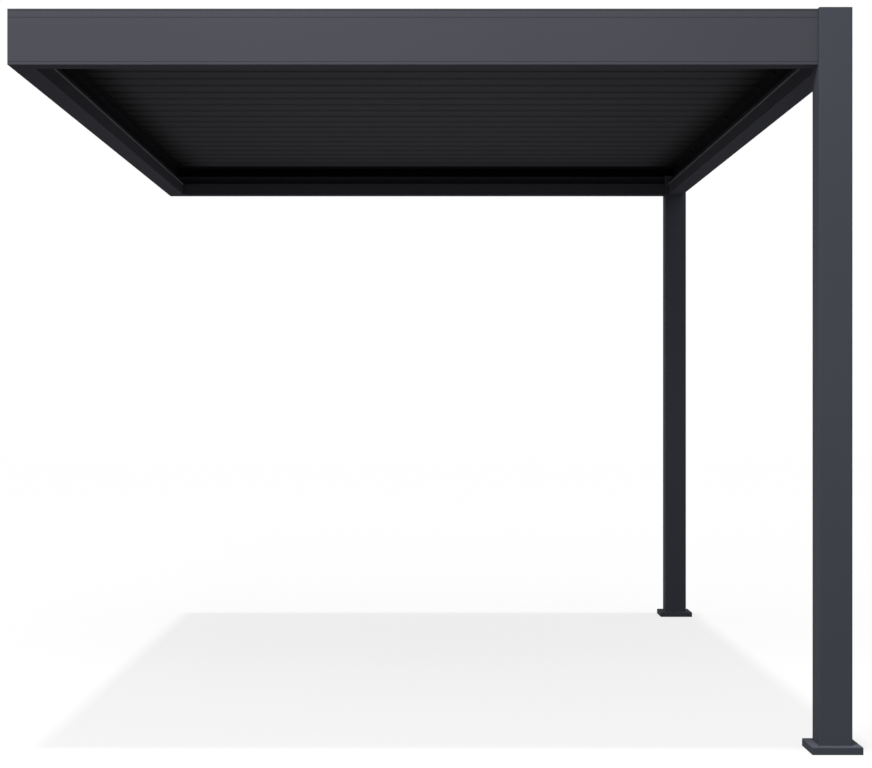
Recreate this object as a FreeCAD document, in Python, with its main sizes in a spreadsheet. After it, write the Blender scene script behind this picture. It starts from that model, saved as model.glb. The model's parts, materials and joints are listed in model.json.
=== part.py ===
"""Wall-mounted pergola: two posts, a ring of hollow beams and a roof of turning louvres.

Frame: the origin is the centre of the wall beam's back face, +X points away from the wall, +Y runs
along the wall and +Z is up. All sizes are millimetres.
"""
import FreeCAD, Part
import os

import Sketcher

# Driving dimensions: name, value, what it is.
SIZES = (
    ("frame_length", 4000, "along the wall, over the posts"),
    ("projection", 2835, "wall to the outer face of the posts"),
    ("overall_height", 2500, "ground to the top of the post caps"),
    ("post_width", 112, "square post, across its flats"),
    ("post_wall", 3, "wall of the post"),
    ("post_corner", 5, "outer corner radius of the post"),
    ("beam_height", 188, "height of the ring beam"),
    ("beam_width", 80, "underside of the ring beam with its gutter"),
    ("beam_wall", 3, "wall of the beam and the gutter"),
    ("tube_width", 45, "closed lower tube of the beam, outer face to inner face"),
    ("tube_drop", 86, "top of the closed lower tube below the beam's top"),
    ("nose_width", 3, "drip nose along the tube's upper inner edge"),
    ("nose_height", 5, "height of that nose"),
    ("flange_width", 50, "top flange of the beam, from the outer face"),
    ("groove_width", 2.4, "shadow grooves along the outer face"),
    ("groove_depth", 1.2, "depth of those grooves"),
    ("groove_top", 7, "upper groove below the beam's top"),
    ("groove_low", 30, "second groove below the beam's top"),
    ("groove_foot", 9, "lowest groove above the underside"),
    ("gutter_height", 60, "inner wall of the gutter"),
    ("gutter_hook", 30, "outer leg of the gutter, against the tube"),
    ("gutter_return", 6, "folded top edge of the gutter's inner wall"),
    ("cap_thickness", 2, "plate of the post cap"),
    ("fit_gap", 0.3, "gap where one piece slips into or round another"),
    ("base_thickness", 8, "anchor plate under the post"),
    ("base_width", 156, "square anchor plate"),
    ("base_spigot", 60, "height of the spigot inside the post"),
    ("anchor_spacing", 134, "between anchor holes"),
    ("anchor_radius", 6.5, "anchor hole"),
    ("cover_width", 170, "square foot cover"),
    ("cover_height", 26, "height of the foot cover"),
    ("cover_wall", 2, "sheet of the foot cover"),
    ("cover_chamfer", 2, "bevel round the top of the foot cover"),
    ("wall_bolt_radius", 5.5, "hole for a wall bolt"),
    ("wall_bolt_end", 250, "end of the frame to the first wall bolt"),
    ("wall_bolt_drop", 38, "wall bolts below the beam's top"),
    ("wall_bolt_count", 6, "wall bolts"),
    ("louvre_pitch", 160, "between louvre pivots"),
    ("louvre_drop", 42, "underside of the closed louvres below the beam's top"),
    ("louvre_end_gap", 12, "rail to the end of a louvre"),
    ("louvre_left", 77, "pivot to the drain edge"),
    ("louvre_right", 76, "pivot to the wall under the lip"),
    ("louvre_lip", 10, "overhang of the lip"),
    ("louvre_channel", 15, "width of the drain channel, outside"),
    ("louvre_depth", 24, "height of the louvre at the channel"),
    ("louvre_lip_top", 20, "height of the louvre at the lip"),
    ("louvre_crown", 520, "radius of the crowned top"),
    ("louvre_upstand", 8, "outer wall of the drain channel"),
    ("louvre_wall", 1.8, "wall of the louvre"),
    ("louvre_cap", 3, "end cap of the louvre"),
    ("pivot_height", 13, "pivot above the louvre's underside"),
    ("pivot_radius", 8, "pivot pin"),
    ("running_gap", 0.05, "pin to hole, radial"),
    ("rail_lap", 1, "pivot rail past the tube's inner face"),
    ("rail_thickness", 4, "web of the pivot rail"),
    ("rail_foot", 18, "foot of the pivot rail"),
    ("rail_foot_thickness", 3, "thickness of that foot"),
    ("rail_top_gap", 5, "pivot rail to the beam's top flange"),
    ("pin_end", 2, "pin end past its rail or bar"),
    ("crank_reach", 30, "pivot to crank pin"),
    ("crank_thickness", 6, "crank plate"),
    ("crank_width", 20, "crank plate across the pivot"),
    ("crank_gap", 6, "rail to crank plate"),
    ("crank_pin_radius", 4, "crank pin"),
    ("crank_pin_gap", 0.1, "crank pin to link bar, radial"),
    ("bar_gap", 4, "crank plate to link bar"),
    ("bar_thickness", 6, "link bar"),
    ("bar_height", 18, "height of the link bar"),
    ("strip_wall", 2, "sheet of the closing strips"),
    ("strip_foot", 36, "foot of a closing strip on the tube"),
    ("seam_gap", 7, "between two closed louvres, at their undersides"),
    ("strip_upstand", 22, "inner upstand of the back closing strip"),
)

doc = FreeCAD.newDocument("pergola")
sheet = doc.addObject("Spreadsheet::Sheet", "size")
for row, (alias, value, note) in enumerate(SIZES, start=1):
    sheet.set(f"A{row}", alias)
    sheet.set(f"B{row}", str(value))
    sheet.set(f"C{row}", note)
    sheet.setAlias(f"B{row}", alias)
doc.recompute()

# Planes and lines that several pieces share, written from the driving dimensions.
BEAM_INSET = "(size.post_width - size.beam_width) / 2"
UNDERSIDE = "(-size.beam_height / 2)"
BEAM_TOP = "(size.beam_height / 2)"
GROUND = "(size.beam_height / 2 + size.cap_thickness - size.overall_height)"
FRONT_FACE = f"(-size.frame_length / 2 + {BEAM_INSET})"
BACK_FACE = f"(size.frame_length / 2 - {BEAM_INSET})"
OUTER_FACE = f"(size.projection - {BEAM_INSET})"
POST_SIDE = "(size.projection - size.post_width)"
POST_GAP = "(size.frame_length - 2 * size.post_width)"
TUBE_HEIGHT = "(size.beam_height - size.tube_drop)"
TUBE_TOP = f"({UNDERSIDE} + {TUBE_HEIGHT})"
RAIL_INNER = "(size.tube_width + size.rail_lap)"
LOUVRE_LEVEL = "(size.beam_height - size.louvre_drop)"
PIVOT_LEVEL = f"({UNDERSIDE} + {LOUVRE_LEVEL} + size.pivot_height)"
LOUVRE_START = f"({RAIL_INNER} + size.louvre_end_gap)"
LOUVRE_END = f"({OUTER_FACE} - {LOUVRE_START})"
LOUVRE_COUNT = (
    f"floor((size.frame_length - 2 * ({BEAM_INSET}) - 2 * size.beam_width) / size.louvre_pitch)")
FIRST_PIVOT = f"(-({LOUVRE_COUNT} - 1) / 2 * size.louvre_pitch)"
CRANK_STEP = "(size.crank_reach / sqrt(2))"
FIRST_BOLT = "(size.wall_bolt_end - size.frame_length / 2)"
BOLT_STEP = f"(-2 * {FIRST_BOLT} / (size.wall_bolt_count - 1))"
NEAR = 0.01

# Pins and their bores repeat with every louvre, so each has this many flats in place of a round.
PIN_SIDES = 12
HALF_FLAT = 180 / PIN_SIDES


def number(text):
    """Value of an expression written with the names in the sheet."""
    value = sheet.evalExpression(text)
    return float(getattr(value, "Value", value))


def new_body(name):
    """Empty body whose label names its file."""
    body = doc.addObject("PartDesign::Body", name)
    body.Label = name
    return body


def origin_feature(body, role):
    """Plane or axis of a body's own origin."""
    return next(item for item in body.Origin.OriginFeatures if item.Role == role)


def place_at(body, x="0", y="0", z="0"):
    """Bind a body's position to the sheet."""
    for axis, text in zip("xyz", (x, y, z)):
        body.setExpression(f"Placement.Base.{axis}", text)


def line_or_arc(start, end, radius):
    """Edge between two corners: a line, or an arc that bulges to the left of its direction."""
    if radius is None:
        return Part.LineSegment(start, end)
    chord = end - start
    half = chord.Length / 2
    rise = radius - (radius ** 2 - half ** 2) ** 0.5
    side = FreeCAD.Vector(chord.y, -chord.x, 0).normalize()
    return Part.Arc(start, (start + end) / 2 + side * rise, end)


def sketch(body, name, plane, loops=(), circles=(), offset="0"):
    """Sketch on an origin plane, with each corner and circle bound to expressions.

    A loop is a list of corners (across, up) or (across, up, radius), the radius being that of the
    arc which leaves the corner. A circle is (across, up, radius).
    """
    drawing = body.newObject("Sketcher::SketchObject", name)
    drawing.AttachmentSupport = (origin_feature(body, plane), [""])
    drawing.MapMode = "FlatFace"
    drawing.setExpression("AttachmentOffset.Base.z", offset)
    edges, constraints, bindings = [], [], []

    def bind(kind, *arguments):
        constraints.append(Sketcher.Constraint(kind, *arguments[:-1], number(arguments[-1])))
        bindings.append((len(constraints) - 1, arguments[-1]))

    def pin(edge, position, across, up):
        for kind, axis, text in (("DistanceX", -2, across), ("DistanceY", -1, up)):
            if text == "0":
                constraints.append(Sketcher.Constraint("PointOnObject", edge, position, axis))
            else:
                bind(kind, -1, 1, edge, position, text)

    for loop in loops:
        first = len(edges)
        points = [FreeCAD.Vector(number(corner[0]), number(corner[1]), 0) for corner in loop]
        starts = []
        for step, corner in enumerate(loop):
            radius = number(corner[2]) if len(corner) == 3 else None
            edge = line_or_arc(points[step], points[(step + 1) % len(loop)], radius)
            edges.append(edge)
            flipped = radius is not None and (edge.StartPoint - points[step]).Length > 1e-6
            starts.append(2 if flipped else 1)
        for step, corner in enumerate(loop):
            following = (step + 1) % len(loop)
            constraints.append(Sketcher.Constraint(
                "Coincident", first + step, 3 - starts[step], first + following, starts[following]))
            pin(first + step, starts[step], corner[0], corner[1])
            if len(corner) == 3:
                bind("Radius", first + step, corner[2])
    for across, up, radius in circles:
        centre = FreeCAD.Vector(number(across), number(up), 0)
        edges.append(Part.Circle(centre, FreeCAD.Vector(0, 0, 1), number(radius)))
        pin(len(edges) - 1, 3, across, up)
        bind("Radius", len(edges) - 1, radius)
    drawing.addGeometry(edges, False)
    drawing.addConstraint(constraints)
    for index, text in bindings:
        drawing.setExpression(f"Constraints[{index}]", text)
    return drawing


def pad(body, drawing, length, both_ways=False, backwards=False):
    """Extrusion of a sketch that adds material."""
    feature = body.newObject("PartDesign::Pad", f"{drawing.Name}_pad")
    feature.Profile = drawing
    feature.setExpression("Length", length)
    feature.Midplane = both_ways
    feature.Reversed = backwards
    body.Tip = feature
    return feature


def pocket(body, drawing, length=None, forwards=False):
    """Extrusion of a sketch that cuts: to a length, or right through both ways."""
    feature = body.newObject("PartDesign::Pocket", f"{drawing.Name}_cut")
    feature.Profile = drawing
    if length is None:
        feature.Type = "ThroughAll"
        feature.Midplane = True
    else:
        feature.setExpression("Length", length)
        feature.Reversed = forwards
    body.Tip = feature
    return feature


def repeat(body, features, axis, spacing, count):
    """Linear pattern of features along one of the body's own axes."""
    pattern = body.newObject("PartDesign::LinearPattern", f"{features[0].Name}_row")
    pattern.Originals = features
    pattern.Direction = (origin_feature(body, axis), [""])
    pattern.Mode = "Spacing"
    pattern.setExpression("Offset", spacing)
    pattern.setExpression("Occurrences", count)
    body.Tip = pattern
    return pattern


def rectangle(left, low, right, high):
    """Corners of an upright rectangle."""
    return [(left, low), (right, low), (right, high), (left, high)]


def square(width):
    """Corners of a square about the origin."""
    return rectangle(f"-{width} / 2", f"-{width} / 2", f"{width} / 2", f"{width} / 2")


def near_round(across, up, radius):
    """Corners of a pin's or bore's section, on a circle about its axis."""
    angles = [f"{(2 * place + 1) * HALF_FLAT} deg" for place in range(PIN_SIDES)]
    return [(f"{across} + {radius} * cos({angle})", f"{up} + {radius} * sin({angle})") for angle in angles]


def bore_round(across, up, radius):
    """Corners of a bore whose flats touch a circle, so that a pin of that radius turns in it."""
    return near_round(across, up, f"({radius}) / cos({HALF_FLAT} deg)")


def along(face, inward, outline):
    """Outline given by distance in from a beam's face and height above the underside."""
    sign = "+" if inward > 0 else "-"
    return [(f"{face} {sign} ({corner[0]})", f"{UNDERSIDE} + {corner[1]}") for corner in outline]


def notch(level):
    """Four corners of one shadow groove in a beam's outer face, from the top down."""
    half = "size.groove_width / 2"
    return [
        ("0", f"{level} + {half}"),
        ("size.groove_depth", f"{level} + {half}"),
        ("size.groove_depth", f"{level} - {half}"),
        ("0", f"{level} - {half}"),
    ]


def beam_outline(grooved):
    """Ring beam: closed lower tube with a drip nose, web and top flange."""
    outline = [
        ("0", "0"),
        ("size.tube_width", "0"),
        ("size.tube_width", f"{TUBE_HEIGHT} - size.nose_height"),
        ("size.tube_width + size.nose_width", f"{TUBE_HEIGHT} - size.nose_height + size.nose_width / 2"),
        ("size.tube_width + size.nose_width", TUBE_HEIGHT),
        ("size.beam_wall", TUBE_HEIGHT),
        ("size.beam_wall", "size.beam_height - size.beam_wall"),
        ("size.flange_width", "size.beam_height - size.beam_wall"),
        ("size.flange_width", "size.beam_height"),
        ("0", "size.beam_height"),
    ]
    if grooved:
        outline += notch("size.beam_height - size.groove_top")
        outline += notch("size.beam_height - size.groove_low")
        outline += notch("size.groove_foot")
    return outline


TUBE_BORE = rectangle(
    "size.beam_wall", "size.beam_wall",
    "size.tube_width - size.beam_wall", f"{TUBE_HEIGHT} - size.beam_wall")

GUTTER_OUTLINE = [
    ("size.tube_width", "0"),
    ("size.beam_width", "0"),
    ("size.beam_width", "size.gutter_height"),
    ("size.beam_width - size.gutter_return", "size.gutter_height"),
    ("size.beam_width - size.gutter_return", "size.gutter_height - size.beam_wall"),
    ("size.beam_width - size.beam_wall", "size.gutter_height - size.beam_wall"),
    ("size.beam_width - size.beam_wall", "size.beam_wall"),
    ("size.tube_width + size.beam_wall", "size.beam_wall"),
    ("size.tube_width + size.beam_wall", "size.gutter_hook"),
    ("size.tube_width", "size.gutter_hook"),
]


def mitre_side(body, face, inward):
    """Cut the wall end of a front or back member at 45 degrees, through the ring's outer corner."""
    sign = "+" if inward > 0 else "-"
    reach = "size.beam_width * 2"
    corners = [("0", face), ("0", f"{face} {sign} {reach}"), (reach, f"{face} {sign} {reach}")]
    pocket(body, sketch(body, f"{body.Name}_mitre", "XY_Plane", [corners]))


def mitre_wall(body):
    """Cut both ends of a wall member at 45 degrees, to meet the front and back members."""
    reach = "size.beam_width * 2"
    front = [("0", FRONT_FACE), (reach, f"{FRONT_FACE} + {reach}"), (reach, FRONT_FACE)]
    back = [("0", BACK_FACE), (reach, BACK_FACE), (reach, f"{BACK_FACE} - {reach}")]
    pocket(body, sketch(body, f"{body.Name}_mitres", "XY_Plane", [front, back]))


def make_side_member(name, face, inward, outline, bore=None):
    """Beam or gutter at the front or back: from the wall plane to the side of its post."""
    body = new_body(name)
    loops = [along(face, inward, outline)]
    if bore:
        loops.append(along(face, inward, bore))
    pad(body, sketch(body, f"{name}_section", "YZ_Plane", loops), POST_SIDE)
    mitre_side(body, face, inward)
    return body


def make_cross_member(name, face, inward, length, outline, bore=None):
    """Beam or gutter along the wall or between the posts."""
    body = new_body(name)
    loops = [along(face, inward, outline)]
    if bore:
        loops.append(along(face, inward, bore))
    pad(body, sketch(body, f"{name}_section", "XZ_Plane", loops), length, both_ways=True)
    return body


def make_ring():
    """The four beams and the four gutters inside them."""
    wall_length = f"{BACK_FACE} - {FRONT_FACE}"
    plain, grooved = beam_outline(False), beam_outline(True)
    beam_wall = make_cross_member("beam_wall", "0", 1, wall_length, plain, TUBE_BORE)
    mitre_wall(beam_wall)
    bolt = sketch(beam_wall, "wall_bolt", "YZ_Plane", circles=[
        (FIRST_BOLT, f"{BEAM_TOP} - size.wall_bolt_drop", "size.wall_bolt_radius")])
    hole = pocket(beam_wall, bolt, "size.beam_wall", forwards=True)
    repeat(beam_wall, [hole], "Y_Axis", BOLT_STEP, "size.wall_bolt_count")
    gutter_wall = make_cross_member("gutter_wall", "0", 1, wall_length, GUTTER_OUTLINE)
    mitre_wall(gutter_wall)
    members = [beam_wall, gutter_wall]
    for side, face, inward in (("front", FRONT_FACE, 1), ("back", BACK_FACE, -1)):
        members.append(make_side_member(f"beam_{side}", face, inward, grooved, TUBE_BORE))
        members.append(make_side_member(f"gutter_{side}", face, inward, GUTTER_OUTLINE))
    members.append(make_cross_member("beam_outer", OUTER_FACE, -1, POST_GAP, grooved, TUBE_BORE))
    members.append(make_cross_member("gutter_outer", OUTER_FACE, -1, POST_GAP, GUTTER_OUTLINE))
    return members


def post_place(body, side, level):
    """Put a piece of the front (side -1) or back (side 1) post on the post's axis."""
    sign = "-" if side < 0 else ""
    place_at(body, "size.projection - size.post_width / 2",
             f"{sign}(size.frame_length - size.post_width) / 2", level)


def round_corners(body, base, name, radius):
    """Fillet on the upright edges at the outer corners of a square piece."""
    doc.recompute()
    reach = base.Shape.BoundBox.XMax
    edges = []
    for index, edge in enumerate(base.Shape.Edges, start=1):
        start, end = (vertex.Point for vertex in edge.Vertexes)
        upright = abs(start.z - end.z) > NEAR
        at_corner = abs(abs(start.x) - reach) < NEAR and abs(abs(start.y) - reach) < NEAR
        if upright and at_corner:
            edges.append(f"Edge{index}")
    rounded = body.newObject("PartDesign::Fillet", name)
    rounded.Base = (base, edges)
    rounded.setExpression("Radius", radius)
    body.Tip = rounded


def make_post(name, side):
    """Hollow square post, cut back above the tubes where the roof's inner corner is open."""
    body = new_body(name)
    foot = f"({GROUND} + size.base_thickness)"
    section = sketch(body, f"{name}_section", "XY_Plane",
                     [square("size.post_width"), square("(size.post_width - 2 * size.post_wall)")])
    column = pad(body, section, f"{BEAM_TOP} - {foot}")
    round_corners(body, column, f"{name}_corners", "size.post_corner")
    beyond = "size.post_width"
    tube_side = f"(size.post_width / 2 - {BEAM_INSET} - size.tube_width)"
    if side < 0:
        corner = rectangle(f"-{beyond}", f"-{tube_side}", tube_side, beyond)
    else:
        corner = rectangle(f"-{beyond}", f"-{beyond}", tube_side, tube_side)
    opening = sketch(body, f"{name}_inner_corner", "XY_Plane", [corner], offset=f"{TUBE_TOP} - {foot}")
    pocket(body, opening, "size.tube_drop", forwards=True)
    post_place(body, side, foot)
    return body


def make_post_cap(name, side):
    """Thin cap that closes the post's top."""
    body = new_body(name)
    plate = pad(body, sketch(body, f"{name}_plate", "XY_Plane", [square("size.post_width")]),
                "size.cap_thickness")
    round_corners(body, plate, f"{name}_corners", "size.post_corner")
    post_place(body, side, BEAM_TOP)
    return body


def make_base_plate(name, side):
    """Anchor plate with four holes and a spigot that holds the post."""
    body = new_body(name)
    half = "size.anchor_spacing / 2"
    holes = [(x, y, "size.anchor_radius") for x in (half, f"-{half}") for y in (half, f"-{half}")]
    plate = sketch(body, f"{name}_plate", "XY_Plane", [square("size.base_width")], holes)
    pad(body, plate, "size.base_thickness")
    outside = "(size.post_width - 2 * size.post_wall - 2 * size.fit_gap)"
    inside = "(size.post_width - 6 * size.post_wall)"
    spigot = sketch(body, f"{name}_spigot", "XY_Plane", [square(outside), square(inside)],
                    offset="size.base_thickness")
    pad(body, spigot, "size.base_spigot")
    post_place(body, side, GROUND)
    return body


def make_foot_cover(name, side):
    """Sheet cover over the anchor plate, open below, with a bevelled top edge."""
    body = new_body(name)
    block = pad(body, sketch(body, f"{name}_outside", "XY_Plane", [square("size.cover_width")]),
                "size.cover_height")
    doc.recompute()
    top = block.Shape.BoundBox.ZMax
    edges = [
        f"Edge{index}" for index, edge in enumerate(block.Shape.Edges, start=1)
        if all(abs(vertex.Point.z - top) < NEAR for vertex in edge.Vertexes)]
    bevel = body.newObject("PartDesign::Chamfer", f"{name}_bevel")
    bevel.Base = (block, edges)
    bevel.setExpression("Size", "size.cover_chamfer")
    body.Tip = bevel
    inside = sketch(body, f"{name}_inside", "XY_Plane", [square("(size.cover_width - 2 * size.cover_wall)")])
    pocket(body, inside, "size.cover_height - size.cover_chamfer - size.cover_wall", forwards=True)
    opening = sketch(body, f"{name}_opening", "XY_Plane", [square("(size.post_width + 2 * size.fit_gap)")])
    pocket(body, opening)
    post_place(body, side, GROUND)
    return body


def make_posts():
    """Both posts with their caps, anchor plates and foot covers."""
    pieces = []
    for place, side in (("front", -1), ("back", 1)):
        pieces.append(make_post(f"post_{place}", side))
        pieces.append(make_post_cap(f"post_cap_{place}", side))
        pieces.append(make_base_plate(f"base_plate_{place}", side))
        pieces.append(make_foot_cover(f"foot_cover_{place}", side))
    return pieces


def make_pivot_rail(name, face, inward, length):
    """Angle rail on a tube's top, with a bore for each louvre's pin."""
    body = new_body(name)
    top = "size.beam_height - size.beam_wall - size.rail_top_gap"
    angle = [
        (f"{RAIL_INNER} - size.rail_foot", TUBE_HEIGHT),
        (RAIL_INNER, TUBE_HEIGHT),
        (RAIL_INNER, top),
        (f"{RAIL_INNER} - size.rail_thickness", top),
        (f"{RAIL_INNER} - size.rail_thickness", f"{TUBE_HEIGHT} + size.rail_foot_thickness"),
        (f"{RAIL_INNER} - size.rail_foot", f"{TUBE_HEIGHT} + size.rail_foot_thickness"),
    ]
    section = sketch(body, f"{name}_section", "XZ_Plane", [along(face, inward, angle)])
    pad(body, section, length, both_ways=True)
    bore = bore_round(FIRST_PIVOT, PIVOT_LEVEL, "size.pivot_radius + size.running_gap")
    drilling = sketch(body, f"{name}_bore", "YZ_Plane", [bore],
                      offset=f"{face} {'+' if inward > 0 else '-'} {RAIL_INNER}")
    hole = pocket(body, drilling)
    repeat(body, [hole], "Y_Axis", "size.louvre_pitch", LOUVRE_COUNT)
    return body


LOUVRE_OUTLINE = [
    ("-size.louvre_left", "-size.pivot_height"),
    ("size.louvre_right", "-size.pivot_height"),
    ("size.louvre_right", "size.louvre_lip_top - size.louvre_wall - size.pivot_height"),
    ("size.louvre_right + size.louvre_lip", "size.louvre_lip_top - size.louvre_wall - size.pivot_height"),
    ("size.louvre_right + size.louvre_lip", "size.louvre_lip_top - size.pivot_height"),
    ("size.louvre_right", "size.louvre_lip_top - size.pivot_height", "size.louvre_crown"),
    ("size.louvre_channel - size.louvre_left", "size.louvre_depth - size.pivot_height"),
    ("size.louvre_channel - size.louvre_left", "size.louvre_wall - size.pivot_height"),
    ("size.louvre_wall - size.louvre_left", "size.louvre_wall - size.pivot_height"),
    ("size.louvre_wall - size.louvre_left", "size.louvre_upstand - size.pivot_height"),
    ("-size.louvre_left", "size.louvre_upstand - size.pivot_height"),
]


def chamber(left, left_top, right, right_top):
    """One hollow of the louvre: flat below, crowned above, a wall thinner all round."""
    floor = "size.louvre_wall - size.pivot_height"
    return [
        (left, floor),
        (right, floor),
        (right, f"{right_top} - size.pivot_height", "size.louvre_crown - size.louvre_wall"),
        (left, f"{left_top} - size.pivot_height"),
    ]


def crank_corner(reach, across):
    """Corner of the crank plate, by its distance along the crank from the pivot and across it."""
    return f"-(({reach}) + ({across})) / sqrt(2)", f"(({across}) - ({reach})) / sqrt(2)"


CRANK_HALF = "size.crank_width / 2"
CRANK_END = f"{CRANK_HALF} * tan(22.5 deg)"
CRANK_OUTLINE = [
    crank_corner(f"-{CRANK_HALF}", CRANK_END),
    crank_corner(f"-{CRANK_END}", CRANK_HALF),
    crank_corner(f"size.crank_reach + {CRANK_END}", CRANK_HALF),
    crank_corner(f"size.crank_reach + {CRANK_HALF}", CRANK_END),
    crank_corner(f"size.crank_reach + {CRANK_HALF}", f"-{CRANK_END}"),
    crank_corner(f"size.crank_reach + {CRANK_END}", f"-{CRANK_HALF}"),
    crank_corner(f"-{CRANK_END}", f"-{CRANK_HALF}"),
    crank_corner(f"-{CRANK_HALF}", f"-{CRANK_END}"),
]


def make_louvre(number_in_row):
    """Hollow louvre on its pivot axis: extruded blade, closed ends, two pins and a crank."""
    name = f"louvre_{number_in_row:02d}"
    body = new_body(name)
    blade = sketch(body, f"{name}_section", "YZ_Plane", [LOUVRE_OUTLINE], offset=LOUVRE_START)
    pad(body, blade, f"{LOUVRE_END} - {LOUVRE_START}")
    left = "size.louvre_channel - size.louvre_left + size.louvre_wall"
    right = "size.louvre_right - size.louvre_wall"
    rib = "size.louvre_wall / 2"
    middle_top = "(size.louvre_depth + size.louvre_lip_top) / 2 + size.louvre_wall"
    hollows = [
        chamber(left, "size.louvre_depth - size.louvre_wall", f"-{rib}", middle_top),
        chamber(rib, middle_top, right, "size.louvre_lip_top - size.louvre_wall"),
    ]
    hollow = sketch(body, f"{name}_hollows", "YZ_Plane", hollows,
                    offset=f"{LOUVRE_START} + size.louvre_cap")
    pocket(body, hollow, f"{LOUVRE_END} - {LOUVRE_START} - 2 * size.louvre_cap", forwards=True)
    pin = near_round("0", "0", "size.pivot_radius")
    reach = "size.louvre_end_gap + size.rail_thickness"
    wall_pin = sketch(body, f"{name}_wall_pin", "YZ_Plane", [pin], offset=LOUVRE_START)
    pad(body, wall_pin, f"{reach} + size.pin_end", backwards=True)
    outer_pin = sketch(body, f"{name}_outer_pin", "YZ_Plane", [pin], offset=LOUVRE_END)
    pad(body, outer_pin, f"{reach} + size.crank_gap")
    crank_start = f"{LOUVRE_END} + {reach} + size.crank_gap"
    crank = sketch(body, f"{name}_crank", "YZ_Plane", [CRANK_OUTLINE], offset=crank_start)
    pad(body, crank, "size.crank_thickness")
    crank_pin = sketch(body, f"{name}_crank_pin", "YZ_Plane",
                       [near_round(f"-{CRANK_STEP}", f"-{CRANK_STEP}", "size.crank_pin_radius")],
                       offset=f"{crank_start} + size.crank_thickness")
    pad(body, crank_pin, "size.bar_gap + size.bar_thickness + size.pin_end")
    place_at(body, y=f"{FIRST_PIVOT} + {number_in_row - 1} * size.louvre_pitch", z=PIVOT_LEVEL)
    return body


def make_link_bar():
    """Flat bar that joins the crank pins of all louvres."""
    body = new_body("link_bar")
    start = (f"{LOUVRE_END} + size.louvre_end_gap + size.rail_thickness + size.crank_gap"
             " + size.crank_thickness + size.bar_gap")
    end_margin = "size.bar_height"
    first = f"{FIRST_PIVOT} - {CRANK_STEP}"
    last = f"-{FIRST_PIVOT} - {CRANK_STEP}"
    level = f"{PIVOT_LEVEL} - {CRANK_STEP}"
    bar = sketch(body, "bar_side", "YZ_Plane", [rectangle(
        f"{first} - {end_margin}", f"{level} - size.bar_height / 2",
        f"{last} + {end_margin}", f"{level} + size.bar_height / 2")], offset=start)
    pad(body, bar, "size.bar_thickness")
    eye = sketch(body, "bar_eye", "YZ_Plane",
                 [bore_round(first, level, "size.crank_pin_radius + size.crank_pin_gap")], offset=start)
    hole = pocket(body, eye, "size.bar_thickness", forwards=True)
    repeat(body, [hole], "Y_Axis", "size.louvre_pitch", LOUVRE_COUNT)
    return body


def make_closing_strip(name, face, inward):
    """Fixed strip between a beam and the end louvre, with the edge that the louvre expects."""
    body = new_body(name)
    sheet_wall = "size.strip_wall"
    level = LOUVRE_LEVEL
    foot_end = "size.tube_width"
    pivot_in = f"({BACK_FACE} + {FIRST_PIVOT})"
    if inward > 0:
        edge = f"{pivot_in} - size.louvre_left - size.seam_gap"
        tip = [
            (edge, level),
            (edge, f"{level} + size.louvre_lip_top - {sheet_wall}"),
            (f"{edge} + size.louvre_lip", f"{level} + size.louvre_lip_top - {sheet_wall}"),
            (f"{edge} + size.louvre_lip", f"{level} + size.louvre_lip_top"),
            (f"{edge} - {sheet_wall}", f"{level} + size.louvre_lip_top"),
            (f"{edge} - {sheet_wall}", f"{level} + {sheet_wall}"),
        ]
    else:
        edge = f"{pivot_in} - size.louvre_right - size.seam_gap"
        inner = f"{edge} - size.louvre_channel"
        tip = [
            (edge, level),
            (edge, f"{level} + size.louvre_upstand"),
            (f"{edge} - {sheet_wall}", f"{level} + size.louvre_upstand"),
            (f"{edge} - {sheet_wall}", f"{level} + {sheet_wall}"),
            (inner, f"{level} + {sheet_wall}"),
            (inner, f"{level} + size.strip_upstand"),
            (f"{inner} - {sheet_wall}", f"{level} + size.strip_upstand"),
            (f"{inner} - {sheet_wall}", f"{level} + {sheet_wall}"),
        ]
    outline = [
        (f"{foot_end} - size.strip_foot", TUBE_HEIGHT),
        (foot_end, TUBE_HEIGHT),
        (foot_end, level),
        *tip,
        (f"{foot_end} - {sheet_wall}", f"{level} + {sheet_wall}"),
        (f"{foot_end} - {sheet_wall}", f"{TUBE_HEIGHT} + {sheet_wall}"),
        (f"{foot_end} - size.strip_foot", f"{TUBE_HEIGHT} + {sheet_wall}"),
    ]
    section = sketch(body, f"{name}_section", "YZ_Plane", [along(face, inward, outline)],
                     offset=f"{RAIL_INNER} + size.fit_gap")
    pad(body, section, f"{OUTER_FACE} - 2 * ({RAIL_INNER} + size.fit_gap)")
    tube_side = f"{face} {'+' if inward > 0 else '-'} size.tube_width"
    post = rectangle(POST_SIDE, face, "size.projection", tube_side)
    pocket(body, sketch(body, f"{name}_post_notch", "XY_Plane", [post]))
    return body


def make_roof():
    """Pivot rails, closing strips, louvres and the bar that links them."""
    wall_length = f"{BACK_FACE} - {FRONT_FACE} - 2 * size.tube_width"
    pieces = [
        make_pivot_rail("pivot_rail_wall", "0", 1, wall_length),
        make_pivot_rail("pivot_rail_outer", OUTER_FACE, -1, POST_GAP),
        make_closing_strip("closing_strip_front", FRONT_FACE, 1),
        make_closing_strip("closing_strip_back", BACK_FACE, -1),
    ]
    pieces += [make_louvre(place) for place in range(1, int(number(LOUVRE_COUNT)) + 1)]
    pieces.append(make_link_bar())
    return pieces


def check_document():
    """Stop if anything in the document failed to build."""
    failed = [item.Name for item in doc.Objects if {"Invalid", "Error"} & set(item.State)]
    if failed:
        raise RuntimeError(f"failed objects: {failed}")


pieces = make_ring() + make_posts() + make_roof()
doc.recompute()
check_document()
for piece in pieces:
    if piece.Shape.isNull() or not piece.Shape.isValid() or len(piece.Shape.Solids) != 1:
        raise RuntimeError(f"{piece.Label} isn't one sound solid")

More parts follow.
